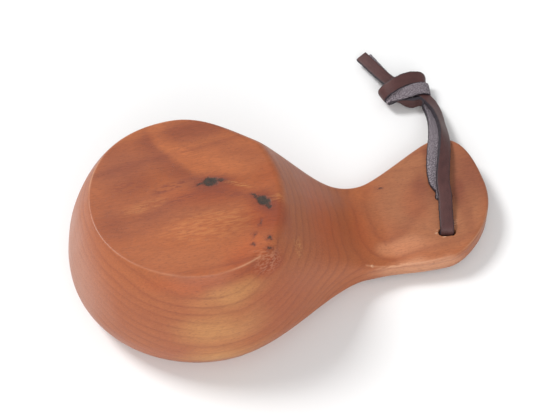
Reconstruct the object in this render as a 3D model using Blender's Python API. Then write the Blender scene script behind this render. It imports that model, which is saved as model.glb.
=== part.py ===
"""Kuksa: a carved wooden cup with a leather thong, resting on its rim with the base facet on top.

Metres, +Z up.  The handle points along +X, the far side is +Y, and the origin is the middle of
the cup's footprint on the surface it rests on.
"""

import math

import bmesh
import bpy
from mathutils import Matrix, Vector
from mathutils.geometry import interpolate_bezier

# Plan outline of the cup: stations along X, and half widths on the near (-Y) and far (+Y) side
HEEL = (-0.07925, 0.0006)
BELLY_NEAR = (-0.0308, 0.0447)
BELLY_FAR = (-0.0350, 0.0447)
NECK_NEAR = (0.0275, 0.0224)
NECK_FAR = (0.0223, 0.0142)
PADDLE_NEAR = (0.0559, 0.0242)
PADDLE_FAR = (0.0667, 0.0296)
TIP = (0.07925, 0.0054)

# Lengths of the curve handles on each side of those stations
HEEL_ROUND = 0.0254
BELLY_ROUND_NEAR = (0.0264, 0.0248)
BELLY_ROUND_FAR = (0.0264, 0.0269)
NECK_ROUND_NEAR = (0.0199, 0.0128)
NECK_ROUND_FAR = (0.0185, 0.0166)
PADDLE_ROUND_NEAR = (0.0154, 0.0073)
PADDLE_ROUND_FAR = (0.0080, 0.0090)
TIP_ROUND = 0.0176

# Heights
CUP_HEIGHT = 0.046
HANDLE_TOP = 0.0089
HANDLE_RISE = 0.06
HANDLE_UNDER = 0.0022
BODY_EQUATOR = 0.0134
HANDLE_EQUATOR = 0.0046

# Wall above the equator: how far it leans in at the facet, and how round it is
FACET_INSET_BODY = 0.0109
FACET_INSET_HANDLE = 0.0056
WALL_ARC = 0.38
WALL_POWER = 1.7
RIM_INSET_BODY = 0.004
RIM_INSET_HANDLE = 0.002
LIP_ROUND = 0.0010

# Scoop from the facet's edge down to the handle
FACET_EDGE_X = -0.0027
SCOOP_END_X = 0.0367
SCOOP_BOW = 0.062
SCOOP_SLOPE = 1.42

# Hollow
HOLLOW_X = -0.0325
HOLLOW_HEEL = 0.0375
HOLLOW_NECK = 0.0360
HOLLOW_HALF = 0.0348
HOLLOW_DEPTH = 0.0400
HOLLOW_POWER = 2.5

# Thong: a flat lace through two slots in the handle
LACE_WIDTH = 0.0052
LACE_THICK = 0.0018
SLOT_LENGTH = 0.0066
SLOT_GAP = 0.0026
SLOT_NEAR = Vector((0.0579, -0.0134, 0))
SLOT_SPACING = 0.0160
LACE_TURN = math.radians(-14)
HINGE_REACH = 0.0205
BEND = 0.0019
SLOT_MOUTH = 0.0097

OUTLINE_POINTS = 112
WALL_LEVELS = 9


def smooth(low, high, x):
    """0 before low, 1 after high, and an S between them."""
    t = min(max((x - low) / (high - low), 0.0), 1.0)
    return t * t * (3 - 2 * t)


def mixed(low, high, share):
    return low + (high - low) * share


def material(name, colour, roughness):
    made = bpy.data.materials.new(name)
    made.use_nodes = True
    shader = made.node_tree.nodes["Principled BSDF"]
    shader.inputs["Base Color"].default_value = (*colour, 1)
    shader.inputs["Roughness"].default_value = roughness
    shader.inputs["Metallic"].default_value = 0
    return made


def mesh_object(name, bm, finish=None):
    """The bmesh as an object, facing out and shaded smooth up to 40 degrees."""
    bmesh.ops.recalc_face_normals(bm, faces=bm.faces)
    mesh = bpy.data.meshes.new(name)
    bm.to_mesh(mesh)
    bm.free()
    mesh.shade_smooth()
    mesh.set_sharp_from_angle(angle=math.radians(40))
    made = bpy.data.objects.new(name, mesh)
    bpy.context.scene.collection.objects.link(made)
    if finish:
        mesh.materials.append(finish)
    return made


def half_outline(side, belly, belly_round, neck, neck_round, paddle, paddle_round):
    """Heel to tip on one side: side is -1 for near and 1 for far.  Every station is level in X."""
    heel = Vector((*HEEL, 0))
    broad = Vector((belly[0], side * belly[1], 0))
    waist = Vector((neck[0], side * neck[1], 0))
    flare = Vector((paddle[0], side * paddle[1], 0))
    tip = Vector((*TIP, 0))
    along = Vector((1, 0, 0))
    out = Vector((0, side, 0))
    spans = (
        (heel, heel + out * HEEL_ROUND, broad - along * belly_round[0], broad),
        (broad, broad + along * belly_round[1], waist - along * neck_round[0], waist),
        (waist, waist + along * neck_round[1], flare - along * paddle_round[0], flare),
        (flare, flare + along * paddle_round[1], tip + out * TIP_ROUND, tip),
    )
    points = []
    for span in spans:
        points += interpolate_bezier(*span, 60)[:-1]
    return points + [tip]


def outline():
    """(points, outward directions): the closed plan outline, anticlockwise, at even spacing."""
    near = half_outline(-1, BELLY_NEAR, BELLY_ROUND_NEAR, NECK_NEAR, NECK_ROUND_NEAR,
                        PADDLE_NEAR, PADDLE_ROUND_NEAR)
    far = half_outline(1, BELLY_FAR, BELLY_ROUND_FAR, NECK_FAR, NECK_ROUND_FAR,
                       PADDLE_FAR, PADDLE_ROUND_FAR)
    line = near + far[-2::-1]
    reach = [0.0]
    for a, b in zip(line, line[1:]):
        reach.append(reach[-1] + (b - a).length)
    points = []
    at = 0
    for i in range(OUTLINE_POINTS):
        want = reach[-1] * i / OUTLINE_POINTS
        while reach[at + 1] < want:
            at += 1
        share = (want - reach[at]) / (reach[at + 1] - reach[at])
        points.append(line[at].lerp(line[at + 1], share))
    outward = []
    for i in range(OUTLINE_POINTS):
        run = points[(i + 1) % OUTLINE_POINTS] - points[i - 1]
        outward.append(Vector((run.y, -run.x, 0)).normalized())
    return points, outward


def wall_lean(height_share):
    """Share of the facet inset reached at this share of the wall's height: a superellipse arc."""
    full = (1 - (1 - WALL_ARC) ** WALL_POWER) ** (1 / WALL_POWER)
    return (1 - (1 - (height_share * full) ** WALL_POWER) ** (1 / WALL_POWER)) / WALL_ARC


def ring(bm, line, height_of, inset_of):
    """One closed ring of vertices: each outline point moved in and lifted."""
    made = []
    for point, out in zip(*line):
        flat = point - out * inset_of(point.x)
        made.append(bm.verts.new((flat.x, flat.y, height_of(point.x))))
    return made


def join_rings(bm, lower, upper):
    count = len(lower)
    for i in range(count):
        j = (i + 1) % count
        bm.faces.new((lower[i], lower[j], upper[j], upper[i]))


def blank(finish):
    """The block before carving: rim plane, tucked lower wall, equator, leaning wall, top plane."""
    bm = bmesh.new()
    line = outline()

    def equator(x):
        return mixed(BODY_EQUATOR, HANDLE_EQUATOR, smooth(-0.0235, 0.0178, x))

    def tuck(x):
        return mixed(RIM_INSET_BODY, RIM_INSET_HANDLE, smooth(0.004, 0.029, x))

    def lean(x):
        return mixed(FACET_INSET_BODY, FACET_INSET_HANDLE, smooth(-0.001, 0.029, x))

    rings = []
    for lip in (0.0, 0.35, 1.0):
        rings.append(ring(bm, line, lambda x: LIP_ROUND * lip,
                          lambda x: tuck(x) + LIP_ROUND * (1 - math.sqrt(lip))))
    for share in (0.2, 0.4, 0.7):
        rings.append(ring(bm, line, lambda x: mixed(LIP_ROUND, equator(x), share),
                          lambda x: tuck(x) * (1 - share) ** 2))
    for level in range(WALL_LEVELS + 1):
        share = (level / WALL_LEVELS) ** 1.25
        rings.append(ring(bm, line, lambda x: mixed(equator(x), CUP_HEIGHT, share),
                          lambda x: lean(x) * wall_lean(share)))
    for lower, upper in zip(rings, rings[1:]):
        join_rings(bm, lower, upper)
    bm.faces.new(rings[0][::-1])
    bm.faces.new(rings[-1])
    return mesh_object("cup", bm, finish)


def scoop_height(share):
    """Height of the carved side at this share of the way from the handle back to the facet."""
    rise = (3 - SCOOP_SLOPE) * share**2 + (SCOOP_SLOPE - 2) * share**3
    return mixed(HANDLE_TOP, CUP_HEIGHT, rise)


def slab_cutter(name, columns):
    """A closed cutter between two surfaces: columns[i][j] is the (low, high) pair of points."""
    bm = bmesh.new()
    grid = [[[bm.verts.new(point) for point in pair] for pair in column] for column in columns]
    last_i = len(grid) - 1
    last_j = len(grid[0]) - 1
    for i in range(last_i):
        for j in range(last_j):
            for k in (0, 1):
                bm.faces.new((grid[i][j][k], grid[i + 1][j][k],
                              grid[i + 1][j + 1][k], grid[i][j + 1][k]))
    for i in range(last_i):
        for j in (0, last_j):
            bm.faces.new((grid[i][j][0], grid[i + 1][j][0], grid[i + 1][j][1], grid[i][j][1]))
    for j in range(last_j):
        for i in (0, last_i):
            bm.faces.new((grid[i][j][0], grid[i][j + 1][0], grid[i][j + 1][1], grid[i][j][1]))
    return mesh_object(name, bm)


def scoop_cutter():
    """Everything above the scoop and the handle's flat: the facet's edge bows round the body."""
    columns = []
    for j in range(25):
        y = mixed(-0.052, 0.052, j / 24)
        bow = 1 - (y / SCOOP_BOW) ** 2
        length = (SCOOP_END_X - FACET_EDGE_X) / bow
        column = [(SCOOP_END_X - length * 1.03, CUP_HEIGHT + 0.003)]
        for i in range(15):
            share = 1 - i / 14
            column.append((SCOOP_END_X - length * share, scoop_height(share)))
        end = TIP[0] + 0.01
        column.append((end, HANDLE_TOP + HANDLE_RISE * (end - SCOOP_END_X)))
        columns.append([((x, y, z), (x, y, CUP_HEIGHT + 0.02)) for x, z in column])
    return slab_cutter("cutter_scoop", columns)


def under_cutter():
    """The shave that lifts the handle's underside clear of the surface."""
    columns = []
    for side in (-0.052, 0.052):
        column = []
        for i in range(13):
            share = i / 12
            z = mixed(-0.0006, HANDLE_UNDER, smooth(0, 1, share))
            column.append((mixed(0.014, 0.034, share), z))
        column.append((TIP[0] + 0.01, HANDLE_UNDER))
        columns.append([((x, side, -0.01), (x, side, z)) for x, z in column])
    return slab_cutter("cutter_under", columns)


def hollow_cutter():
    """The bowl's inside: a superellipse of revolution, egg-shaped in plan, with a rounded lip."""
    bm = bmesh.new()
    around = 56
    flare = LIP_ROUND
    levels = [(1, flare * 1.5, -0.004), (1, flare, 0.0), (1, flare * 0.4, flare * 0.35),
              (1, 0.0, flare)]
    for i in range(1, 12):
        turn = math.radians(90) * i / 12
        reach = math.cos(turn) ** (2 / HOLLOW_POWER)
        levels.append((reach, 0.0, flare + (HOLLOW_DEPTH - flare) * math.sin(turn) ** (2 / HOLLOW_POWER)))
    rings = []
    for reach, extra, z in levels:
        made = []
        for k in range(around):
            turn = 2 * math.pi * k / around
            long = HOLLOW_NECK if math.cos(turn) > 0 else HOLLOW_HEEL
            x = HOLLOW_X + (long * reach + extra) * math.cos(turn)
            y = (HOLLOW_HALF * reach + extra) * math.sin(turn)
            made.append(bm.verts.new((x, y, z)))
        rings.append(made)
    for lower, upper in zip(rings, rings[1:]):
        join_rings(bm, lower, upper)
    bm.faces.new(rings[0][::-1])
    pole = bm.verts.new((HOLLOW_X, 0, HOLLOW_DEPTH))
    for k in range(around):
        bm.faces.new((rings[-1][k], rings[-1][(k + 1) % around], pole))
    return mesh_object("cutter_hollow", bm)


def lace_frame():
    """(along, across): unit directions of the lace over the handle, and of its width."""
    across = Matrix.Rotation(LACE_TURN, 3, "Z") @ Vector((1, 0, 0))
    return Vector((-across.y, across.x, 0)), across


def slot_cutter(index):
    """A straight slot through the handle with round ends."""
    along, across = lace_frame()
    centre = SLOT_NEAR + along * SLOT_SPACING * index
    bm = bmesh.new()
    half_round = SLOT_GAP / 2
    straight = SLOT_LENGTH / 2 - half_round
    loop = []
    for end in (1, -1):
        for i in range(9):
            turn = math.radians(-90 + 180 * i / 8)
            long = end * (straight + half_round * math.cos(turn))
            loop.append(centre + across * long + along * end * half_round * math.sin(turn))
    low = [bm.verts.new((p.x, p.y, -0.005)) for p in loop]
    high = [bm.verts.new((p.x, p.y, 0.02)) for p in loop]
    join_rings(bm, low, high)
    bm.faces.new(low[::-1])
    bm.faces.new(high)
    return mesh_object(f"cutter_slot_{index + 1}", bm)


def cup(finish):
    made = blank(finish)
    cutters = [scoop_cutter(), under_cutter(), hollow_cutter(), slot_cutter(0), slot_cutter(1)]
    for cutter in cutters:
        cutter.hide_render = True
        cutter.display_type = "WIRE"
        cut = made.modifiers.new(cutter.name, "BOOLEAN")
        cut.operation = "DIFFERENCE"
        cut.solver = "EXACT"
        cut.object = cutter
    return made


def lace(name, route, across, finish):
    """A flat strip of the lace's own section along a route; across is the direction of its width."""
    bm = bmesh.new()
    sections = []
    last = len(route) - 1
    for i, point in enumerate(route):
        run = (route[min(i + 1, last)] - route[max(i - 1, 0)]).normalized()
        up = run.cross(across).normalized() * LACE_THICK / 2
        side = across * LACE_WIDTH / 2
        corners = (side + up, side - up, -side - up, -side + up)
        sections.append([bm.verts.new(point + corner) for corner in corners])
    for first, second in zip(sections, sections[1:]):
        join_rings(bm, first, second)
    bm.faces.new(sections[0][::-1])
    bm.faces.new(sections[-1])
    return mesh_object(name, bm, finish)


def bight(finish):
    """The lace from the hinge line back over the handle, down, under, and up again to that line."""
    along, across = lace_frame()
    lift = Vector((0, 0, 1))
    upper = ((HINGE_REACH - 0.0003, 0.0139), (0.0180, 0.0140), (0.0145, 0.0136),
             (0.0105, 0.0125), (0.0070, 0.0119), (0.0040, 0.0117))
    route = [SLOT_NEAR + along * s + lift * z for s, z in upper]

    def bend(s, z, first, last):
        centre = SLOT_NEAR + along * s + lift * z
        for i in range(7):
            turn = math.radians(mixed(first, last, i / 6))
            route.append(centre + (along * math.cos(turn) + lift * math.sin(turn)) * BEND)

    bend(BEND, SLOT_MOUTH, 90, 180)
    bend(BEND, 0.0029, 180, 270)
    bend(SLOT_SPACING - BEND, 0.0029, 270, 360)
    bend(SLOT_SPACING + BEND, SLOT_MOUTH, 180, 90)
    route.append(SLOT_NEAR + along * (HINGE_REACH - 0.0003) + lift * 0.0116)
    return lace("thong_bight", route, across, finish)


def swinging_pieces(finish):
    """The two strands past the hinge line, the knot, and the two tails beyond it."""
    along, across = lace_frame()
    strand_near = [Vector(p) for p in (
        (0.0630, 0.0066, 0.0139), (0.0650, 0.0130, 0.0141), (0.0671, 0.0190, 0.0142),
        (0.0692, 0.0260, 0.0142), (0.0704, 0.0308, 0.0139), (0.0714, 0.0352, 0.0119),
        (0.0721, 0.0410, 0.0092), (0.0721, 0.0465, 0.0074), (0.0718, 0.0508, 0.0064))]
    strand_far = [Vector(p) for p in (
        (0.0628, 0.0066, 0.0116), (0.0628, 0.0130, 0.0118), (0.0643, 0.0210, 0.0120),
        (0.0662, 0.0275, 0.0121), (0.0672, 0.0312, 0.0118), (0.0683, 0.0350, 0.0092),
        (0.0696, 0.0405, 0.0067), (0.0706, 0.0458, 0.0050), (0.0710, 0.0508, 0.0042))]
    lace("thong_strand_near", strand_near, across, finish)
    lace("thong_strand_far", strand_far, across, finish)
    bm = bmesh.new()
    bmesh.ops.create_uvsphere(bm, u_segments=28, v_segments=16, radius=1)
    turn = Matrix.Rotation(math.radians(-8), 4, "Z")
    shape = Matrix.Diagonal((0.0096, 0.0064, 0.0047, 1))
    bmesh.ops.transform(bm, matrix=Matrix.Translation((0.0650, 0.0594, 0.0049)) @ turn @ shape,
                        verts=bm.verts)
    mesh_object("thong_knot", bm, finish)
    tail_across = Vector((0.949, 0.316, 0))
    tail_a = [Vector(p) for p in ((0.0600, 0.0670, 0.0048), (0.0574, 0.0747, 0.0040),
                                  (0.0540, 0.0849, 0.0034))]
    tail_b = [Vector(p) for p in ((0.0632, 0.0674, 0.0025), (0.0604, 0.0770, 0.0017),
                                  (0.0569, 0.0858, 0.0012))]
    lace("thong_tail_a", tail_a, tail_across, finish)
    lace("thong_tail_b", tail_b, tail_across, finish)


def main():
    for leftover in list(bpy.data.objects):
        bpy.data.objects.remove(leftover)
    wood = material("oiled_wood", (0.40, 0.15, 0.07), 0.45)
    leather = material("brown_leather", (0.09, 0.045, 0.04), 0.7)
    cup(wood)
    bight(leather)
    swinging_pieces(leather)


main()
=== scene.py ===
"""Kuksa: a carved wooden cup resting on its rim, with a flat leather lace knotted through its handle.

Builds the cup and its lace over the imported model, in metres, +Z up, with the handle along +X.
"""

import math
from collections import namedtuple

import bmesh
import bpy
import numpy as np
from bpy.props import FloatProperty, FloatVectorProperty, PointerProperty
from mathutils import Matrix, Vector


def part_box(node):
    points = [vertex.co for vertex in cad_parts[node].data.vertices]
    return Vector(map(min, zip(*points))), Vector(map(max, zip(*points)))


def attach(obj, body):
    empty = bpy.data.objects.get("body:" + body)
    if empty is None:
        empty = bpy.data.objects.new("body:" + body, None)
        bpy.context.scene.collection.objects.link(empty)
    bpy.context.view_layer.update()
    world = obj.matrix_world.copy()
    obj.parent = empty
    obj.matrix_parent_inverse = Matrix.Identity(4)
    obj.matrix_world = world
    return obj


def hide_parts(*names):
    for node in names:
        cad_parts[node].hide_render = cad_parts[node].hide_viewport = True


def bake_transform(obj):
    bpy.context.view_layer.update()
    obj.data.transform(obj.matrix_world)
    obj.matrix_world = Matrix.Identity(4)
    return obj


bl_info = {
    "name": "Kuksa",
    "version": (1, 0, 0),
    "blender": (4, 5, 0),
    "location": "View3D > Sidebar > Kuksa",
    "description": "A carved wooden cup with a knotted leather lace",
    "category": "Object",
}

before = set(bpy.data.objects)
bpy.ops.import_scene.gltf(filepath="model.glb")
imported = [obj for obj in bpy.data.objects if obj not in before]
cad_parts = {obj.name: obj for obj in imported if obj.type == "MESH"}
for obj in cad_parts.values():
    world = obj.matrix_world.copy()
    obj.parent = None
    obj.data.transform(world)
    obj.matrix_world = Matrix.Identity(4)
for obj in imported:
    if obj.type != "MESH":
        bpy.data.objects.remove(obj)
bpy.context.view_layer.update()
CUP_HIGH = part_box("cup")[1]

MM = 0.001

# Plan outline: stations along X and half widths, and the lengths of the curve's handles there
HEEL = (-0.07925, 0.0006)
TIP = (0.07925, 0.0054)
HEEL_ROUND = 0.0254
TIP_ROUND = 0.0176
NEAR_SIDE = (
    ((-0.0308, 0.0447), (0.0264, 0.0248)),
    ((0.0275, 0.0224), (0.0199, 0.0128)),
    ((0.0559, 0.0242), (0.0154, 0.0073)),
)
FAR_SIDE = (
    ((-0.0350, 0.0447), (0.0264, 0.0269)),
    ((0.0223, 0.0142), (0.0185, 0.0166)),
    ((0.0667, 0.0296), (0.0080, 0.0090)),
)

# Heights
CUP_HEIGHT = CUP_HIGH.z
HANDLE_TOP = 0.0089
HANDLE_RISE = 0.06
HANDLE_UNDER = 0.0022
LIP_ROUND = 0.0010

# Wall sizes at the bowl and at the handle, and the stretch of X over which each one changes
EQUATOR, EQUATOR_SPAN = (0.0134, 0.0046), (-0.0235, 0.0178)
LEAN, LEAN_SPAN = (0.0109, 0.0056), (-0.001, 0.029)
TUCK, TUCK_SPAN = (0.004, 0.002), (0.004, 0.029)
UNDER_SPAN = (0.014, 0.034)

# Scoop from the base facet down to the handle
FACET_EDGE_X = -0.0027
SCOOP_END_X = 0.0367
SCOOP_BOW = 0.062
SCOOP_SLOPE = 1.42
WALL_ARC = 0.38
WALL_POWER = 1.7

# Hollow
HOLLOW_X = -0.0325
HOLLOW_HEEL = 0.0375
HOLLOW_NECK = 0.0360
HOLLOW_HALF = 0.0348
HOLLOW_DEPTH = 0.0400
HOLLOW_POWER = 2.5

# Slots and the lace through them
SLOT_NEAR = np.array((0.0579, -0.0134, 0.0))
SLOT_SPACING = 0.0160
SLOT_LENGTH = 0.0060
SLOT_GAP = 0.0029
LACE_TURN = math.radians(-14)
LACE_ACROSS = np.array((math.cos(LACE_TURN), math.sin(LACE_TURN), 0.0))
LACE_ALONG = np.array((-math.sin(LACE_TURN), math.cos(LACE_TURN), 0.0))
BEND = 0.0019

# How finely the surfaces are worked out
OUTLINE_POINTS = 600
LACE_STEP = 0.0004
LACE_SECTION = 28
NEAR_CREASE = np.array((0.0, 0.15, 0.3, 0.45, 0.65, 0.9, 1.2, 1.5, 2.0)) * MM


def chart(red, green, blue):
    """A paint chart colour, 0 to 255, as the linear light that the shaders take."""
    shares = np.array((red, green, blue)) / 255
    light = np.where(shares <= 0.04045, shares / 12.92, ((shares + 0.055) / 1.055) ** 2.4)
    return (*light.tolist(), 1.0)


# ---------------- sizes and colours


def length_setting(name, description, default):
    return FloatProperty(name=name, description=description, default=default,
                         min=0.0, subtype="DISTANCE", unit="LENGTH", precision=5)


def colour_setting(name, description, default):
    return FloatVectorProperty(name=name, description=description, default=default,
                               size=4, min=0.0, max=1.0, subtype="COLOR")


class KuksaCupSettings(bpy.types.PropertyGroup):
    """Sizes and colours of the carved cup"""

    crease_round: length_setting("Crease rounding", "How far the base facet's edge is worn round", 0.0005)
    shoulder_round: length_setting("Shoulder rounding", "How far the scoop's near shoulder is rounded",
                                   0.0075)
    handle_round: length_setting("Handle rounding", "How far the handle's edge is worn round", 0.0015)
    scoop_round: length_setting("Scoop rounding", "How soft the edge between facet and scoop is", 0.0022)
    knife_depth: length_setting("Knife marks", "Depth of the low waves that the knife left", 0.00010)
    slot_rag: length_setting("Slot raggedness", "How ragged the mouths of the lace slots are", 0.00035)
    # The pale crease line is partly wear and partly painted highlight
    wear_and_highlight_width: length_setting("Wear width", "How wide the worn line along the crease is", 0.00032)
    early_wood: colour_setting("Early wood", "Light part of each growth ring", chart(168, 96, 56))
    late_wood: colour_setting("Late wood", "Dark part of each growth ring", chart(150, 80, 46))
    # Dark figure colour, also laid beside the lace on the handle as painted shadow
    dark_figure_and_shadow: colour_setting("Dark figure", "Brown heart figure on the base facet", chart(116, 56, 40))
    red_wood: colour_setting("Red figure", "Red wood beside the knots", chart(146, 62, 28))
    light_wood: colour_setting("Light figure", "Orange wood in the facet's middle", chart(180, 102, 58))
    yellow_wood: colour_setting("Yellow figure", "Yellow streaks on the near wall", chart(192, 138, 82))
    # Painted sheen: a pale pinkish lift on the left wall, where the wall catches a sheen
    painted_pink_sheen: colour_setting("Pink figure", "Pale pinkish wood on the left wall", chart(170, 114, 90))
    # Partly painted light: real orange wood on the facet and wall, laid brighter in the scoop as a painted
    # glow where the bowl shades it
    orange_wood_and_glow: colour_setting("Scoop wood", "Glowing orange in the scoop", chart(178, 86, 42))
    tan_wood: colour_setting("Handle wood", "Duller tan on the handle", chart(154, 101, 70))
    knot_core: colour_setting("Knot core", "Near black bark in the knots", chart(38, 30, 26))
    bark_fleck: colour_setting("Bark flecks", "Grey brown flecks in the knots", chart(88, 72, 58))
    scratch_wood: colour_setting("Scratches", "Whitish scratches under the crease", chart(212, 170, 138))
    # Pale colour that is partly real wear, partly painted highlight along the creases and painted light on
    # the handle's near side face
    pale_wear_and_highlight: colour_setting("Worn wood", "Pale wood where the crease is rubbed", chart(200, 146, 112))


class KuksaLaceSettings(bpy.types.PropertyGroup):
    """Sizes and colours of the leather lace"""

    width: length_setting("Width", "Width of the flat lace", 0.0052)
    thickness: length_setting("Thickness", "Thickness of the flat lace", 0.0018)
    edge_rag: length_setting("Edge raggedness", "How uneven the lace's cut edges are", 0.00012)
    grain_colour: colour_setting("Grain side", "Smooth brown side of the leather", chart(86, 54, 52))
    grain_dark: colour_setting("Grain creases", "Darker brown in the leather's creases", chart(62, 38, 38))
    flesh_colour: colour_setting("Flesh side", "Grey suede side of the leather", chart(172, 162, 168))
    flesh_dark: colour_setting("Flesh side nap", "Dark fibres in the suede", chart(58, 50, 58))
    edge_colour: colour_setting("Cut edge", "Dyed cut edges of the leather", chart(46, 40, 46))


class KuksaStageSettings(bpy.types.PropertyGroup):
    """The floor, the lights and the camera"""

    floor_colour: colour_setting("Floor", "Colour of the pale floor", chart(236, 236, 236))
    sky_strength: FloatProperty(name="Sky", description="Strength of the light from all round",
                                default=0.52, min=0.0)
    key_power: FloatProperty(name="Key light", description="Power of the large light at the far left",
                             default=20.0, min=0.0, unit="POWER")
    fill_power: FloatProperty(name="Fill light", description="Power of the soft light on the near side",
                              default=13.0, min=0.0, unit="POWER")
    lens: FloatProperty(name="Lens", description="Focal length on a 36 mm sensor",
                        default=80.1, min=1.0, subtype="DISTANCE_CAMERA", unit="CAMERA")


# ---------------- shape helpers


def smooth(low, high, x):
    """0 before low, 1 after high, and the S curve 3tt - 2ttt between them."""
    t = np.clip((x - low) / (high - low), 0, 1)
    return t * t * (3 - 2 * t)


def mixed(low, high, share):
    return low + (high - low) * share


def unit(vectors):
    return vectors / np.linalg.norm(vectors, axis=-1, keepdims=True)


def path_lengths(points):
    """How far along the path each of its points is."""
    steps = np.linalg.norm(np.diff(points, axis=0), axis=1)
    return np.concatenate(([0], np.cumsum(steps)))


def grid_faces(rows, columns):
    """Quads between neighbouring rows of a grid that closes round its columns."""
    here = np.arange(rows * columns).reshape(rows, columns)
    after = np.roll(here, -1, axis=1)
    quads = np.stack((here[:-1], here[1:], after[1:], after[:-1]), axis=-1)
    return quads.reshape(-1, 4).tolist()


def grid_object(name, grid, capped=False):
    """An object from a (rows, columns, 3) grid that closes round its columns.

    Points that coincide, at seams and poles, are merged; caps close the first and last rows.
    """
    rows, columns, _ = grid.shape
    faces = grid_faces(rows, columns)
    if capped:
        faces.append(list(range(columns)))
        faces.append(list(range(rows * columns - 1, (rows - 1) * columns - 1, -1)))
    mesh = bpy.data.meshes.new(name)
    mesh.from_pydata(grid.reshape(-1, 3).tolist(), [], faces)
    bm = bmesh.new()
    bm.from_mesh(mesh)
    bmesh.ops.remove_doubles(bm, verts=bm.verts, dist=1e-6)
    bmesh.ops.recalc_face_normals(bm, faces=bm.faces)
    bm.to_mesh(mesh)
    bm.free()
    made = bpy.data.objects.new(name, mesh)
    bpy.context.scene.collection.objects.link(made)
    return made


def finished(obj, finish, sharp_degrees):
    """Shades the object smooth up to the given angle and gives it its material."""
    obj.data.shade_smooth()
    obj.data.set_sharp_from_angle(angle=math.radians(sharp_degrees))
    obj.data.materials.clear()
    obj.data.materials.append(finish)
    return obj


def float_attribute(mesh, name, values):
    made = mesh.attributes.new(name, "FLOAT", "POINT")
    made.data.foreach_set("value", np.ascontiguousarray(values, dtype=np.float32))


def vertex_points(mesh):
    points = np.empty(len(mesh.vertices) * 3)
    mesh.vertices.foreach_get("co", points)
    return points.reshape(-1, 3)


# ---------------- the cup

Line = namedtuple("Line", "points outward equator lean tuck base")


def bezier(start, first, second, end, count=200):
    """A cubic curve: the four points weighted by the cubic Bernstein terms of t."""
    t = np.linspace(0, 1, count)[:, None]
    return (1 - t) ** 3 * start + 3 * t * (1 - t) ** 2 * first + 3 * t**2 * (1 - t) * second + t**3 * end


def half_outline(side, stations):
    """Heel to tip on one side (-1 near, 1 far): four cubic curves, level in X at every station."""
    along = np.array((1.0, 0.0))
    out = np.array((0.0, side))
    at = np.array(HEEL)
    leave = at + out * HEEL_ROUND
    runs = []
    for (x, half_width), (before, after) in stations:
        station = np.array((x, side * half_width))
        runs.append(bezier(at, leave, station - along * before, station)[:-1])
        at = station
        leave = station + along * after
    tip = np.array(TIP)
    runs.append(bezier(at, leave, tip + out * TIP_ROUND, tip))
    line = np.concatenate(runs)
    reach = path_lengths(line)
    wanted = np.linspace(0, reach[-1], OUTLINE_POINTS // 2 + 1)
    return np.stack([np.interp(wanted, reach, line[:, axis]) for axis in (0, 1)], axis=1)


def outline():
    """The closed plan outline, anticlockwise from the heel, with each point's wall sizes."""
    near = half_outline(-1, NEAR_SIDE)
    far = half_outline(1, FAR_SIDE)
    points = np.concatenate((near, far[-2:0:-1]))
    run = unit(np.roll(points, -1, axis=0) - np.roll(points, 1, axis=0))
    outward = np.stack((run[:, 1], -run[:, 0]), axis=1)
    x = points[:, 0]
    return Line(
        points,
        outward,
        equator=mixed(*EQUATOR, smooth(*EQUATOR_SPAN, x)),
        lean=mixed(*LEAN, smooth(*LEAN_SPAN, x)),
        tuck=mixed(*TUCK, smooth(*TUCK_SPAN, x)),
        base=underside_height(x),
    )


def underside_height(x):
    """The handle is shaved clear of the surface that the cup rests on."""
    return HANDLE_UNDER * smooth(*UNDER_SPAN, x)


def wall_lean(share):
    """Share of the lean reached at a share of the wall's height: an arc of a superellipse."""
    full = (1 - (1 - WALL_ARC) ** WALL_POWER) ** (1 / WALL_POWER)
    return (1 - (1 - (share * full) ** WALL_POWER) ** (1 / WALL_POWER)) / WALL_ARC


def moved_in(line, inset, height):
    """Outline points moved in and lifted; inset and height may hold several rows."""
    inset, height = np.broadcast_arrays(inset, height)
    flat = line.points - line.outward * inset[..., None]
    return np.concatenate((flat, height[..., None]), axis=-1)


def wall_at(line, share):
    return moved_in(line, line.lean * wall_lean(share), mixed(line.equator, CUP_HEIGHT, share))


def carved_height(x, y, rounding):
    """Height of the carved top: the facet's plane, the scoop's S and the handle's slow rise.

    The scoop climbs by the cubic (3 - s)tt + (s - 2)ttt of the share t of the way back to the
    facet, which bows round with y, and a polynomial soft minimum rounds its edge with the plane.
    """
    share = (SCOOP_END_X - x) / (SCOOP_END_X - FACET_EDGE_X) * (1 - (y / SCOOP_BOW) ** 2)
    inside = np.clip(share, 0, 1)
    rise = (3 - SCOOP_SLOPE) * inside**2 + (SCOOP_SLOPE - 2) * inside**3
    rise = np.where(share > 1, 1 + SCOOP_SLOPE * (share - 1), rise)
    scoop = mixed(HANDLE_TOP, CUP_HEIGHT, rise)
    scoop = scoop + HANDLE_RISE * np.maximum(x - SCOOP_END_X, 0)
    overlap = np.maximum(rounding - np.abs(scoop - CUP_HEIGHT), 0)
    return np.minimum(scoop, CUP_HEIGHT) - overlap**2 / (4 * rounding)


def facet_edge():
    """The curve where the scoop leaves the facet's plane."""
    y = np.linspace(-0.0320, 0.0300, 240)
    x = SCOOP_END_X - (SCOOP_END_X - FACET_EDGE_X) / (1 - (y / SCOOP_BOW) ** 2)
    return np.stack((x, y, np.full_like(x, CUP_HEIGHT)), axis=1)


def crease_share(line, rounding):
    """Share of the wall's height where the carved top meets it, found by halving the gap."""
    low = np.zeros(len(line.points))
    high = np.ones(len(line.points))
    for _ in range(40):
        middle = (low + high) / 2
        x, y, z = np.moveaxis(wall_at(line, middle), -1, 0)
        below = carved_height(x, y, rounding) >= z
        low = np.where(below, middle, low)
        high = np.where(below, high, middle)
    return low


def spine_of(ring):
    """For each ring point, the point midway to its partner across the cup, kept off the ends."""
    partner = np.roll(ring[::-1], 1, axis=0)
    middle = (ring + partner) / 2
    order = np.argsort(middle[:, 0])
    x = np.clip(middle[:, 0], HEEL[0] + 0.034, TIP[0] - 0.021)
    y = np.interp(x, middle[order, 0], middle[order, 1])
    return np.stack((x, y), axis=1)


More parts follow.
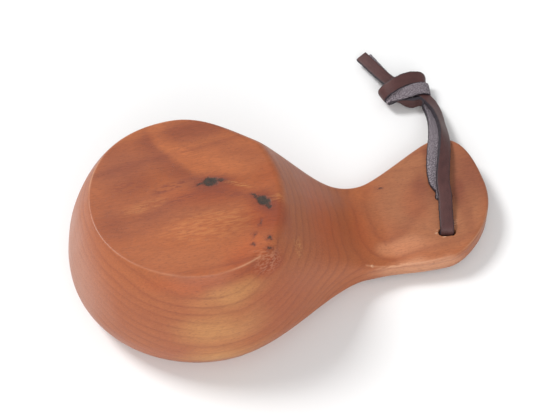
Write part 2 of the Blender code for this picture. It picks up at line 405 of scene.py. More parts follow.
def knife_waves(points):
    """Low waves from the knife, between -1 and 1: three sines that run different ways."""
    x, y, z = np.moveaxis(points, -1, 0) / MM
    return (np.sin(x / 3.9 + y / 8.1 - z / 6.3) * 0.45
            + np.sin(y / 3.1 - x / 9.7 + z / 4.4 + 1.3) * 0.35
            + np.sin(z / 2.3 + x / 6.9 + 0.7) * 0.2)


def deck_rows(crease, rounding, waves):
    """Rows from the crease in to the spine, on the carved height."""
    spine = spine_of(crease[:, :2])
    across = spine - crease[:, :2]
    reach = np.linalg.norm(across, axis=1)
    near = NEAR_CREASE[:, None] / reach
    rest = mixed(near[-1], 1.0, np.linspace(0, 1, 48)[1:, None])
    share = np.concatenate((near, rest))
    flat = crease[:, :2] + across * share[..., None]
    x, y = np.moveaxis(flat, -1, 0)
    rows = np.concatenate((flat, carved_height(x, y, rounding)[..., None]), axis=-1)
    rows[0] = crease
    fade = smooth(0.0, 0.004, share * reach) * mixed(0.25, 1.0, smooth(-0.006, 0.006, x))
    rows[..., 2] += waves * fade * knife_waves(rows)
    return rows


def wall_rows(line, share, waves):
    """Rows from the crease down to the equator."""
    crease = wall_at(line, share)
    depth = np.linalg.norm(crease - wall_at(line, np.zeros_like(share)), axis=1)
    near = NEAR_CREASE[:, None] * np.minimum(1, depth / 0.0042) / depth
    rest = mixed(near[-1], 1.0, np.linspace(0, 1, 34)[1:, None] ** 1.15)
    fallen = np.concatenate((near, rest))
    rows = wall_at(line, share * (1 - fallen))
    fade = smooth(0.0, 0.25, fallen) * smooth(1.0, 0.85, fallen)
    push = (waves * fade * knife_waves(rows))[..., None]
    rows[..., :2] += line.outward * push
    return rows


def rounded_crease(deck, wall, radius):
    """Rounds the corner between two strips that share their first row.

    With s the distance from the corner, a point moves along the mean of the two strips'
    directions by (radius - s) squared over twice the radius, which turns the corner to a parabola.
    """
    into = (unit(deck[1] - deck[0]) + unit(wall[1] - wall[0])) / 2
    made = []
    for strip in (deck, wall):
        steps = np.linalg.norm(np.diff(strip, axis=0), axis=-1)
        run = np.concatenate((np.zeros((1, len(radius))), np.cumsum(steps, axis=0)))
        pull = np.maximum(radius - run, 0) ** 2 / (2 * radius)
        made.append(strip + into * pull[..., None])
    return made


def lower_rows(line):
    """From the equator down the tucked wall, round the lip and in under the cup to the spine."""
    start = line.base / (line.equator - LIP_ROUND)
    share = mixed(1.0, start, np.linspace(0, 1, 9)[1:, None])
    wall = moved_in(line, line.tuck * (1 - share) ** 2, mixed(LIP_ROUND, line.equator, share))
    turn = np.radians(np.linspace(0, 90, 7)[1:, None])
    lip = moved_in(line, line.tuck * (1 - start) ** 2 + LIP_ROUND * (1 - np.cos(turn)),
                   line.base + LIP_ROUND * (1 - np.sin(turn)))
    rim = lip[-1][:, :2]
    spine = spine_of(rim)
    flat = rim + (spine - rim) * np.linspace(0, 1, 13)[1:, None, None]
    under = np.concatenate((flat, underside_height(flat[..., :1])), axis=-1)
    return np.concatenate((wall, lip, under))


def hollow_tool():
    """The bowl's inside: reach and depth follow the superellipse's cosine and sine to 2/n."""
    flare = np.radians(np.linspace(0, 90, 7)[1:])
    turn = np.radians(np.linspace(0, 90, 45)[1:])
    reach = np.concatenate(([1, 1], np.ones(6), np.cos(turn).clip(0) ** (2 / HOLLOW_POWER)))
    extra = np.concatenate(([1.5, 1], 1 - np.sin(flare), np.zeros(44))) * LIP_ROUND
    depth = LIP_ROUND + (HOLLOW_DEPTH - LIP_ROUND) * np.sin(turn) ** (2 / HOLLOW_POWER)
    z = np.concatenate(([-0.004, 0], LIP_ROUND * (1 - np.cos(flare)), depth))
    around = np.linspace(0, 2 * math.pi, 180, endpoint=False)
    long = np.where(np.cos(around) > 0, HOLLOW_NECK, HOLLOW_HEEL)
    x = HOLLOW_X + (long * reach[:, None] + extra[:, None]) * np.cos(around)
    y = (HOLLOW_HALF * reach[:, None] + extra[:, None]) * np.sin(around)
    grid = np.stack((x, y, np.broadcast_to(z[:, None], x.shape)), axis=-1)
    first = np.broadcast_to((HOLLOW_X, 0, -0.004), (1, *grid.shape[1:]))
    return grid_object("tool_hollow", np.concatenate((first, grid)))


def slot_tool(index, rag):
    """A straight slot with round ends, ragged and a little wider where it breaks the surface."""
    centre = SLOT_NEAR + LACE_ALONG * SLOT_SPACING * index
    turn = np.linspace(0, 2 * math.pi, 96, endpoint=False)
    half_round = SLOT_GAP / 2
    straight = np.clip(np.cos(turn) * 9, -1, 1) * (SLOT_LENGTH / 2 - half_round)
    z = np.array((-5, 0, 2.2, 3.2, 6, 8.6, 9.3, 9.9, 10.6, 20)) * MM
    open_share = smooth(0.0086, 0.0104, z)[:, None]
    bite = (np.abs(np.sin(turn * 4.5 + index)) * 0.5 + np.abs(np.sin(turn * 11 + 2 * index)) * 0.3
            + np.sin(turn * 23 + 0.5) * 0.2)
    radius = half_round + rag * open_share * (0.45 + bite)
    long = straight + radius * np.cos(turn)
    short = radius * np.sin(turn)
    flat = centre + LACE_ACROSS * long[..., None] + LACE_ALONG * short[..., None]
    flat[..., 2] = z[:, None]
    return grid_object(f"tool_slot_{index + 1}", flat, capped=True)


def cut_away(obj, tools):
    """The object's mesh with the tools cut out of it; the tools are removed."""
    for tool in tools:
        cut = obj.modifiers.new(tool.name, "BOOLEAN")
        cut.operation = "DIFFERENCE"
        cut.solver = "EXACT"
        cut.object = tool
    bpy.context.view_layer.update()
    graph = bpy.context.evaluated_depsgraph_get()
    mesh = bpy.data.meshes.new_from_object(obj.evaluated_get(graph))
    obj.modifiers.clear()
    obj.data = mesh
    for tool in tools:
        bpy.data.objects.remove(tool)


def distance_to(points, curve):
    """Distance from each point to the nearest of the curve's points, in slices to spare memory."""
    slices = [
        np.sqrt(((part[:, None] - curve[None]) ** 2).sum(axis=-1).min(axis=1))
        for part in np.array_split(points, 60)
    ]
    return np.concatenate(slices)


def cup_body(settings):
    """One skin from the spine on top, over the crease, down the wall and in underneath."""
    line = outline()
    share = crease_share(line, settings.scoop_round)
    crease = wall_at(line, share)
    deck = deck_rows(crease, settings.scoop_round, settings.knife_depth)
    wall = wall_rows(line, share, settings.knife_depth)
    x, y = line.points.T
    radius = mixed(settings.crease_round, settings.handle_round, smooth(0.0, 0.03, x))
    shoulder = smooth(-0.020, -0.002, x) * smooth(0.030, 0.012, x) * np.where(y < 0, 1.0, 0.3)
    radius = radius + settings.shoulder_round * shoulder
    deck, wall = rounded_crease(deck, wall, radius)
    made = grid_object("cup_body", np.concatenate((deck[::-1], wall[1:], lower_rows(line))))
    cut_away(made, [hollow_tool(), slot_tool(0, settings.slot_rag), slot_tool(1, settings.slot_rag)])
    # The pale line along the crease and the facet-scoop edge is partly wear and partly painted highlight
    wear_and_highlight_edge = np.concatenate((deck[0][(x < -0.012) | (x > 0.024)], facet_edge()))
    distance = distance_to(vertex_points(made.data), wear_and_highlight_edge)
    float_attribute(made.data, "wear_and_highlight", np.exp(-(distance / settings.wear_and_highlight_width) ** 2))
    return made


# ---------------- the lace


def natural_spline(stations, values, wanted):
    """Cubic spans whose second derivatives run straight between the stations and end at zero."""
    gap = np.diff(stations)
    count = len(stations)
    inner = np.arange(1, count - 1)
    system = np.eye(count)
    system[inner, inner - 1] = gap[:-1]
    system[inner, inner] = 2 * (gap[:-1] + gap[1:])
    system[inner, inner + 1] = gap[1:]
    right = np.zeros_like(values)
    right[1:-1] = 6 * np.diff(np.diff(values, axis=0) / gap[:, None], axis=0)
    bend = np.linalg.solve(system, right)
    span = np.clip(np.searchsorted(stations, wanted, side="right") - 1, 0, count - 2)
    wide = gap[span][:, None]
    ahead = (wanted - stations[span])[:, None]
    behind = wide - ahead
    return ((bend[span] * behind**3 + bend[span + 1] * ahead**3) / (6 * wide)
            + (values[span] / wide - bend[span] * wide / 6) * behind
            + (values[span + 1] / wide - bend[span + 1] * wide / 6) * ahead)


def slot_point(along, z):
    """A point of the lace over the handle: distance from the near slot, and height, in mm."""
    return SLOT_NEAR / MM + LACE_ALONG * along + np.array((0, 0, z))


def squared(face, ahead):
    """The face directions made square to the way ahead."""
    return unit(face - ahead * (face * ahead).sum(axis=1, keepdims=True))


def even_route(route):
    """The route's evenly spaced points, the way ahead and the grain side's way there, its length."""
    points = np.array([point for point, _ in route], dtype=float) * MM
    faces = unit(np.array([face for _, face in route], dtype=float))
    chord = path_lengths(points)
    fine = np.linspace(0, chord[-1], 4000)
    run = path_lengths(natural_spline(chord, points, fine))
    at = np.interp(np.linspace(0, run[-1], int(run[-1] / LACE_STEP)), run, fine)
    centre = natural_spline(chord, points, at)
    ahead = unit(np.gradient(centre, axis=0))
    face = np.stack([np.interp(at, chord, faces[:, axis]) for axis in range(3)], axis=1)
    face = squared(face, ahead)
    for _ in range(6):
        face[1:-1] = (face[:-2] + 2 * face[1:-1] + face[2:]) / 4
        face = squared(face, ahead)
    return centre, ahead, face, run[-1]


def cut_edge_waver(distance, phase):
    """How a cut edge wavers along the lace, between -1 and 1: three sines of unlike length."""
    return (np.sin(distance * 1.7 + phase) * 0.4
            + np.sin(distance * 4.3 + 2 * phase) * 0.35
            + np.sin(distance * 9.1 + 3 * phase) * 0.25)


def strap(name, route, width, thickness, rag):
    """A flat lace: a superellipse section carried along a smooth route.

    The route lists (point, grain side direction) in mm. The section's half width and half
    thickness follow the cosine and sine to 2/5, and the width wavers with the lace's cut edges.
    Returns the object and the route's evenly spaced points.
    """
    centre, ahead, face, length = even_route(route)
    side = np.cross(ahead, face)
    distance = np.linspace(0, length, len(centre)) / MM
    turn = np.linspace(0, 2 * math.pi, LACE_SECTION, endpoint=False) + math.pi / LACE_SECTION
    wide, high = (np.sign(wave) * np.abs(wave) ** 0.4 for wave in (np.cos(turn), np.sin(turn)))
    right, left = (cut_edge_waver(distance, phase)[:, None] for phase in (0.4, 2.9))
    half = width / 2 + rag * np.where(wide > 0, right, left)
    grid = (centre[:, None] + side[:, None] * (half * wide)[..., None]
            + face[:, None] * (thickness / 2 * high)[None, :, None])
    made = grid_object(name, grid[:, ::-1], capped=True)
    measure_lace(made.data, distance, wide * width / 2 / MM, high)
    return made, centre


def measure_lace(mesh, distance, across, grain):
    """Stores on each point how far along and across the lace it is, and which side it is on."""
    float_attribute(mesh, "lace_run", np.repeat(distance, len(across)))
    float_attribute(mesh, "lace_across", np.tile(across[::-1], len(distance)))
    float_attribute(mesh, "lace_grain", np.tile(grain[::-1], len(distance)))


def turned(centre_along, centre_z, first, last, count=5):
    """Points and outward directions of a bend round a line across the lace, in mm."""
    angles = np.radians(np.linspace(first, last, count))
    out = LACE_ALONG * np.cos(angles)[:, None] + np.array((0, 0, 1)) * np.sin(angles)[:, None]
    return [(slot_point(centre_along, centre_z) + way * BEND / MM, way) for way in out]


def near_route():
    """Up out of the near slot, over the handle, round the knot flesh side out, to the lower tail."""
    over = ((4.2, 11.8), (7.0, 12.0), (10.5, 12.7), (14.5, 13.7))
    up = (0, 0, 1)
    return [
        (slot_point(0, 6.0), -LACE_ALONG),
        (slot_point(0, 8.0), -LACE_ALONG),
        *turned(BEND / MM, 9.7, 180, 90),
        *((slot_point(along, z), up) for along, z in over),
        ((62.2, 5.1, 14.0), (0.15, 0, 1)),
        ((64.0, 10.8, 14.1), (0.3, 0, 0.95)),
        ((66.1, 16.2, 14.1), (0.42, 0, 0.9)),
        ((68.2, 21.6, 14.0), (0.55, 0.05, 0.85)),
        ((69.9, 26.6, 13.3), (0.68, 0.15, 0.72)),
        ((71.3, 31.4, 11.7), (0.8, 0.25, 0.6)),
        ((72.7, 38.3, 9.0), (0.78, 0.2, 0.6)),
        ((73.6, 45.2, 7.0), (0.6, 0.1, 0.8)),
        ((73.7, 50.4, 5.4), (0.4, 0.15, 0.9)),
        ((72.9, 55.0, 4.4), (0.3, 0.2, 0.95)),
        ((70.6, 58.6, 4.2), (0.15, 0.3, 0.95)),
        ((66.6, 60.0, 4.4), (0.0, 0.3, 0.95)),
        ((62.0, 59.8, 4.4), (0.1, 0.2, 0.95)),
        ((58.6, 58.9, 4.0), (0.4, 0.1, 0.9)),
        ((57.2, 58.4, 4.9), (1, 0, 0.1)),
        ((58.4, 58.2, 6.2), (0.6, 0.3, -0.7)),
        ((61.2, 57.9, 6.9), (0.15, 0.45, -0.85)),
        ((64.6, 58.0, 7.2), (0.05, 0.5, -0.85)),
        ((68.2, 58.6, 7.2), (-0.05, 0.5, -0.85)),
        ((71.6, 59.2, 6.6), (-0.25, 0.45, -0.8)),
        ((74.3, 59.2, 5.2), (-0.75, 0.25, -0.55)),
        ((74.9, 59.6, 3.4), (-1, 0, 0.2)),
        ((73.2, 60.8, 2.0), (-0.4, -0.1, 0.9)),
        ((70.0, 62.6, 1.8), (0.1, 0.2, 1)),
        ((66.8, 65.0, 2.6), (0.75, 0.6, 0.3)),
        ((63.8, 67.6, 2.2), (0.4, 0.2, -0.9)),
        ((61.6, 71.2, 1.5), (0, 0, -1)),
        ((59.4, 77.0, 1.15), (0, 0, -1)),
        ((56.5, 85.6, 1.1), (0, 0, -1)),
    ]


def far_route():
    """Up out of the far slot flesh side up, then grain side out round the knot to the upper tail."""
    slot = SLOT_SPACING / MM
    aside = -0.5 * LACE_ACROSS
    down = (0, 0, -1)
    return [
        (slot_point(slot, 6.0) + aside, LACE_ALONG),
        (slot_point(slot, 8.0) + aside, LACE_ALONG),
        *((point + aside, -way) for point, way in turned(slot + BEND / MM, 9.7, 180, 90)),
        ((60.9, 6.8, 11.6), down),
        ((60.8, 10.6, 11.6), down),
        ((61.8, 15.3, 11.7), down),
        ((63.6, 20.6, 11.9), (0.05, 0, -1)),
        ((65.6, 25.6, 11.9), (0.05, 0, -1)),
        ((67.1, 29.2, 11.7), (0, -0.2, -1)),
        ((68.3, 32.4, 10.5), (0, -0.4, -0.9)),
        ((70.3, 38.0, 7.8), (-0.1, -0.4, -0.9)),
        ((71.8, 44.2, 5.6), (-0.2, -0.3, -0.9)),
        ((72.3, 49.2, 3.9), (-0.3, -0.3, -0.9)),
        ((71.9, 53.0, 2.9), (-0.5, -0.6, -0.6)),
        ((70.2, 54.9, 3.4), (-0.3, -0.9, -0.1)),
        ((67.4, 54.9, 3.6), (0.05, -1, 0)),
        ((64.5, 56.2, 3.4), (-0.3, -0.9, -0.1)),
        ((61.6, 58.6, 2.8), (-0.3, -0.7, -0.65)),
        ((58.8, 60.6, 2.4), (-0.4, -0.3, -0.85)),
        ((56.4, 60.3, 3.8), (-0.95, -0.25, -0.2)),
        ((55.9, 60.0, 6.4), (-0.9, -0.3, 0.3)),
        ((58.4, 60.4, 8.9), (-0.5, -0.4, 0.75)),
        ((62.8, 61.7, 10.0), (-0.1, -0.5, 0.85)),
        ((67.4, 62.9, 9.7), (0.1, -0.5, 0.85)),
        ((71.4, 63.4, 8.4), (0.4, -0.4, 0.8)),
        ((73.9, 63.2, 6.4), (0.85, -0.2, 0.5)),
        ((73.9, 62.8, 4.6), (0.9, -0.3, -0.3)),
        ((71.6, 62.9, 3.8), (0.3, -0.9, -0.3)),
        ((68.0, 63.1, 4.0), (0, -0.95, 0.3)),
        ((64.6, 63.6, 4.6), (-0.2, -0.6, 0.8)),
        ((61.8, 65.6, 4.9), (-0.1, -0.1, 1)),
        ((59.9, 69.0, 4.7), (-0.05, -0.2, 1)),
        ((57.3, 75.6, 4.2), (-0.1, -0.3, 0.95)),
        ((53.9, 84.2, 3.8), (-0.1, -0.4, 0.9)),
    ]


def under_route():
    """Down the near slot, along under the handle with the grain side out, and up the far slot."""
    slot = SLOT_SPACING / MM
    bend = BEND / MM
    return [
        (slot_point(0, 5.95), -LACE_ALONG),
        *turned(bend, 2.9, 180, 270),
        (slot_point(slot / 2, 1.0), (0, 0, -1)),
        *turned(slot - bend, 2.9, 270, 360),
        (slot_point(slot, 5.95), LACE_ALONG),
    ]


# ---------------- node helpers


class Graph:
    """A node tree with short ways to add and join its nodes."""

    def __init__(self, tree):
        self.tree = tree

    def feed(self, socket, value):
        if isinstance(value, bpy.types.NodeSocket):
            self.tree.links.new(value, socket)
        else:
            socket.default_value = value

    def add(self, kind, inputs=None, **settings):
        made = self.tree.nodes.new(kind)
        for name, value in settings.items():
            setattr(made, name, value)
        for name, value in (inputs or {}).items():
            self.feed(made.inputs[name], value)
        return made

    def maths(self, operation, *values, clamp=False):
        made = self.add("ShaderNodeMath", operation=operation, use_clamp=clamp)
        for socket, value in zip(made.inputs, values):
            self.feed(socket, value)
        return made.outputs[0]

    def times(self, *values):
        return self.maths("MULTIPLY", *values)

    def less(self, *values):
        return self.maths("SUBTRACT", *values)

    def vector(self, operation, *values):
        made = self.add("ShaderNodeVectorMath", operation=operation)
        for socket, value in zip(made.inputs, values):
            self.feed(socket, value)
        return made.outputs["Value" if operation in ("LENGTH", "DISTANCE", "DOT_PRODUCT") else "Vector"]

    def over(self, under, colour, share, way="MIX"):
        """A colour laid over another by a share."""
        made = self.add("ShaderNodeMix", data_type="RGBA", blend_type=way)
        self.feed(made.inputs[0], share)
        self.feed(made.inputs[6], under)
        self.feed(made.inputs[7], colour)
        return made.outputs[2]

    def remap(self, value, low, high, to_low=0.0, to_high=1.0, way="SMOOTHSTEP"):
        made = self.add("ShaderNodeMapRange", interpolation_type=way)
        for socket, given in zip(made.inputs, (value, low, high, to_low, to_high)):
            self.feed(socket, given)
        return made.outputs[0]

    def effect(self, group, output, inputs):
        """An output of one of the shared node groups, found by its name."""
        return self.add("ShaderNodeGroup", inputs, node_tree=bpy.data.node_groups[group]).outputs[output]

    def grain(self, position, stretch, detail, contrast):
        return self.effect("Stretched grain", "Grain", {"Position": position, "Stretch": stretch,
                                                        "Detail": detail, "Contrast": contrast})

    def patch(self, position, centre, size, turn, core):
        """A soft patch: centre and half sizes in mm, turned about Z by degrees."""
        return self.effect("Soft patch", "Mask", {"Position": position, "Centre": centre, "Size": size,
                                                  "Turn": math.radians(turn), "Core": core})


def effect_group(name, inputs, output):
    """A node group with the named inputs, vector or float by their default, and one float output.

    Returns its graph, its inputs and the socket that its result feeds.
    """
    tree = bpy.data.node_groups.new(name, "ShaderNodeTree")
    for socket, default in inputs.items():
        kind = "NodeSocketVector" if isinstance(default, tuple) else "NodeSocketFloat"
        made = tree.interface.new_socket(socket, in_out="INPUT", socket_type=kind)
        made.default_value = default
    tree.interface.new_socket(output, in_out="OUTPUT", socket_type="NodeSocketFloat")
    graph = Graph(tree)
    return graph, graph.add("NodeGroupInput").outputs, graph.add("NodeGroupOutput").inputs[output]


def grain_effect():
    """Noise stretched along the grain: Contrast spreads it about one half."""
    graph, given, result = effect_group(
        "Stretched grain",
        {"Position": (0, 0, 0), "Stretch": (1, 1, 1), "Detail": 3.0, "Contrast": 1.0}, "Grain")
    place = graph.vector("MULTIPLY", given["Position"], given["Stretch"])
    noise = graph.add("ShaderNodeTexNoise", {"Vector": place, "Scale": 1.0, "Detail": given["Detail"]})
    spread = graph.times(graph.less(noise.outputs[0], 0.5), given["Contrast"])
    graph.feed(result, graph.maths("ADD", spread, 0.5, clamp=True))


def patch_effect():
    """An ellipsoid of soft edge: 1 inside the Core share of its size, falling to 0 at its size."""
    graph, given, result = effect_group(
        "Soft patch",
        {"Position": (0, 0, 0), "Centre": (0, 0, 0), "Size": (1, 1, 1), "Turn": 0.0, "Core": 0.2},
        "Mask")
    offset = graph.vector("SUBTRACT", given["Position"], given["Centre"])
    turned_back = graph.add("ShaderNodeVectorRotate", {"Vector": offset, "Angle": given["Turn"]},
                            rotation_type="Z_AXIS", invert=True)
    scaled = graph.vector("DIVIDE", turned_back.outputs[0], given["Size"])
    radius = graph.vector("LENGTH", scaled)
    graph.feed(result, graph.remap(radius, 1.0, given["Core"]))


def ring_effect():
    """Growth rings about a pith line along X: a slow rise and a quicker fall across each ring."""
    graph, given, result = effect_group(
        "Growth rings", {"Position": (0, 0, 0), "Spacing": 3.0, "Pith Depth": 60.0}, "Ring")
    lift = graph.add("ShaderNodeCombineXYZ", {"Z": given["Pith Depth"]})
    place = graph.vector("ADD", given["Position"], lift.outputs[0])
    flat = graph.vector("MULTIPLY", place, (0.03, 1.0, 1.0))
    radius = graph.vector("LENGTH", flat)
    uneven = graph.grain(given["Position"], (0.008, 0.03, 0.05), 2.0, 1.0)
    phase = graph.maths("ADD", graph.maths("DIVIDE", radius, given["Spacing"]),
                        graph.times(uneven, 3.2))
    around = graph.times(phase, 2 * math.pi)
    main = graph.maths("SINE", around)
    lean = graph.maths("SINE", graph.maths("ADD", around, graph.times(main, 0.6)))
    graph.feed(result, graph.maths("MULTIPLY_ADD", lean, 0.5, 0.5))


# ---------------- finishes


def bump(graph, height, distance, strength, under=None):
    made = graph.add("ShaderNodeBump", {"Height": height, "Distance": distance, "Strength": strength})
    if under is not None:
        graph.feed(made.inputs["Normal"], under)
    return made.outputs[0]


def fresh_material(name):
    made = bpy.data.materials.new(name)
    made.use_nodes = True
    return made, Graph(made.node_tree), made.node_tree.nodes["Principled BSDF"]


def wood_patches(settings):
    """The figure's patches, with painted shadow, painted sheen, painted glow and painted light among them:
    centre, half sizes in mm, turn in degrees, core, colour, strength.
    """
    dark = settings.dark_figure_and_shadow
    red = settings.red_wood
    orange_and_glow = settings.orange_wood_and_glow
    light = settings.light_wood
    yellow = settings.yellow_wood
    pink_sheen = settings.painted_pink_sheen
    tan = settings.tan_wood
    wear_and_highlight = settings.pale_wear_and_highlight
    return (
        ((-36, -15, 46), (19, 9, 9), 6, 0.0, light, 0.7),
        ((-24, 14, 46), (15, 6, 6), -28, 0.1, light, 0.25),
        ((-5, 2, 46), (8, 9, 5), -30, 0.1, red, 0.3),
        ((-55, 16, 46), (18, 17, 9), 30, 0.2, dark, 0.5),
        ((-61, -6, 46), (8, 9, 6), 20, 0.1, dark, 0.5),
        ((-27, 28, 46), (22, 9, 6), 0, 0.2, dark, 0.6),
        ((-12, 14, 46), (18, 8, 5), -32, 0.1, dark, 0.3),
        ((-28, -1, 46), (26, 8, 5), -6, 0.1, red, 0.6),
        ((-24, -1, 46), (16, 6, 5), -20, 0.1, dark, 0.45),
        ((-10, -14, 46), (12, 13, 9), 10, 0.2, red, 0.75),
        ((-8, -12, 45), (7, 10, 9), 10, 0.0, dark, 0.5),
        ((-17, -29, 42), (17, 9, 7), 10, 0.2, red, 0.9),
        ((-46, -34, 42), (32, 10, 5), 0, 0.0, orange_and_glow, 0.4),
        # Partly painted light: this scoop patch lifts the shaded scoop with a painted glow
        ((11, -8, 26), (20, 26, 17), 0, 0.0, orange_and_glow, 0.7),
        ((-27, -39, 37), (20, 9, 6), 0, 0.0, yellow, 0.6),
        ((-36, -43, 25), (28, 9, 12), 0, 0.0, yellow, 0.7),
        ((-38, -46, 10), (34, 9, 10), 0, 0.1, yellow, 0.8),
        # Painted sheen on the left wall
        ((-76, -6, 26), (16, 34, 26), 0, 0.2, pink_sheen, 0.8),
        ((-9, -36, 24), (16, 12, 16), 20, 0.2, red, 0.25),
        ((60, 5, 10), (32, 34, 8), 0, 0.5, tan, 0.7),
        # Painted light: lightens the handle's near side face, which faces away from the key light
        ((46, -24, 6), (26, 5, 6), 0, 0.4, wear_and_highlight, 0.7),
        ((42, -17, 10), (17, 5, 5), -4, 0.3, light, 0.35),
        ((30, 10, 12), (12, 8, 8), 0, 0.1, light, 0.4),
        ((78, 8, 10), (14, 24, 12), 10, 0.2, dark, 0.6),
        ((69, -6, 10), (3, 13, 5), -12, 0.3, dark, 0.3),
        ((61, 24, 10), (3, 12, 5), 20, 0.2, dark, 0.35),
        ((51, 2, 10), (7, 14, 5), -10, 0.1, red, 0.3),
        # Partly painted light: this scoop patch lifts the shaded scoop with a painted glow
        ((25, -6, 13), (13, 20, 8), 0, 0.0, orange_and_glow, 0.5),
        ((41, -16, 9.5), (17, 6, 4), -4, 0.3, wear_and_highlight, 0.35),
        # Painted shadow: these two dark patches lie either side of the lace on the handle, where its
        # shadow falls
        ((55.5, 10, 10), (5, 11, 4), -8, 0.1, dark, 0.55),
        ((69, 4, 10.5), (3.5, 11, 4), -10, 0.2, dark, 0.65),
        ((-20, -25, 46), (13, 8, 6), 10, 0.0, orange_and_glow, 0.3),
        ((-48, -5, 46), (14, 4, 4), 12, 0.1, dark, 0.35),
    )


def figured_wood(graph, position, place, settings):
    """Rings, mottle and the patches of figure, painted shadow, painted sheen and painted glow, laid over
    each other in that order.
    """
    ring = graph.effect("Growth rings", "Ring",
                        {"Position": position, "Spacing": 3.1, "Pith Depth": 62.0})
    mottle = graph.grain(position, (0.035, 0.09, 0.09), 2.0, 1.8)
    share = graph.maths("ADD", graph.times(ring, 0.2), graph.times(mottle, 0.8))
    colour = graph.over(settings.late_wood, settings.early_wood, share)
    late_line = graph.maths("POWER", graph.less(1.0, ring), 5.0)
    for centre, size, turn, core, tint, strength in wood_patches(settings):
        mask = graph.patch(place, centre, size, turn, core)
        colour = graph.over(colour, tint, graph.times(mask, strength))
    line_share = graph.times(late_line, graph.remap(mottle, 0.2, 0.8, 0.06, 0.34))
    colour = graph.over(colour, settings.dark_figure_and_shadow, line_share)
    return colour, ring, mottle


def heart_boundary(graph, place, colour, settings):
    """The dark heart's edge: a soft arc, dark outside it and pale inside, that both fade out."""
    offset = graph.vector("MULTIPLY", graph.vector("SUBTRACT", place, (-14, 33, 46)), (1, 1, 0))
    outside = graph.less(graph.vector("LENGTH", offset), 29.5)
    dark = graph.times(graph.remap(outside, -1.8, 1.2), graph.remap(outside, 9.0, 1.0))
    pale = graph.times(graph.remap(outside, 0.5, -2.0), graph.remap(outside, -8.0, -2.0))
    reach = graph.patch(place, (-33, 16, 46), (25, 25, 8), 0, 0.6)
    colour = graph.over(colour, settings.dark_figure_and_shadow,
                        graph.times(graph.times(dark, reach), 0.55))
    return graph.over(colour, settings.light_wood,
                      graph.times(graph.times(pale, reach), 0.3))


def ragged_place(graph, position, scale, amount, detail):
    """The position shaken by noise, so that what is drawn there gets a ragged edge."""
    noise = graph.add("ShaderNodeTexNoise", {"Vector": position, "Scale": scale, "Detail": detail,
                                             "Roughness": 0.65})
    centred = graph.vector("SUBTRACT", noise.outputs["Color"], (0.5, 0.5, 0.5))
    shift = graph.add("ShaderNodeVectorMath", {0: centred, "Scale": amount}, operation="SCALE")
    return graph.vector("ADD", position, shift.outputs[0])


def knot_marks(graph, position, colour, settings):
    """Knots and bark specks: a dark halo, then a ragged core, near black in the knots."""
    place = ragged_place(graph, position, 0.65, 3.3, 5.0)
    fleck = graph.grain(position, (1.6, 1.6, 1.6), 4.0, 2.4)
    bark = graph.over(settings.knot_core, settings.bark_fleck, graph.times(fleck, 0.45))
    cores = 0.0
    for centre, size, turn, halo, core_strength in (
        ((-26.2, 3.7, 46), (3.7, 2.3, 3.0), 0, 2.4, 1.0),
        ((-29.4, 3.6, 46), (1.9, 0.7, 3.0), 14, 2.2, 0.8),
        ((-22.4, 3.2, 46), (1.8, 0.7, 3.0), -10, 2.2, 0.8),
        ((-10.3, -8.6, 46), (3.2, 2.5, 3.0), -40, 2.4, 1.0),
        ((-12.6, -5.9, 46), (1.7, 0.7, 3.0), -30, 2.2, 0.8),
        ((-9.2, -11.0, 46), (1.8, 1.1, 3.0), -75, 2.2, 0.9),
        ((-11.8, -24.1, 46), (1.1, 0.8, 2.0), 20, 2.6, 0.85),
        ((-12.9, -27.9, 46), (1.1, 0.7, 2.0), 0, 2.6, 0.7),
        ((-16.4, -21.6, 46), (0.8, 0.5, 2.0), 40, 3.0, 0.55),
        ((-13.4, -17.2, 46), (0.5, 1.1, 2.0), -20, 2.6, 0.5),
        ((-17.6, -25.4, 46), (0.6, 0.5, 2.0), 0, 3.0, 0.5),
        ((40.1, 12.8, 9.2), (1.1, 0.4, 2.0), 12, 2.0, 0.6),
    ):
        core = graph.patch(place, centre, size, turn, 0.5)
        around = graph.patch(place, centre, tuple(side * halo for side in size), turn, 0.1)
        colour = graph.over(colour, settings.dark_figure_and_shadow, graph.times(around, 0.75))
        cores = graph.maths("MAXIMUM", graph.times(core, core_strength), cores)
    return graph.over(colour, bark, cores), cores


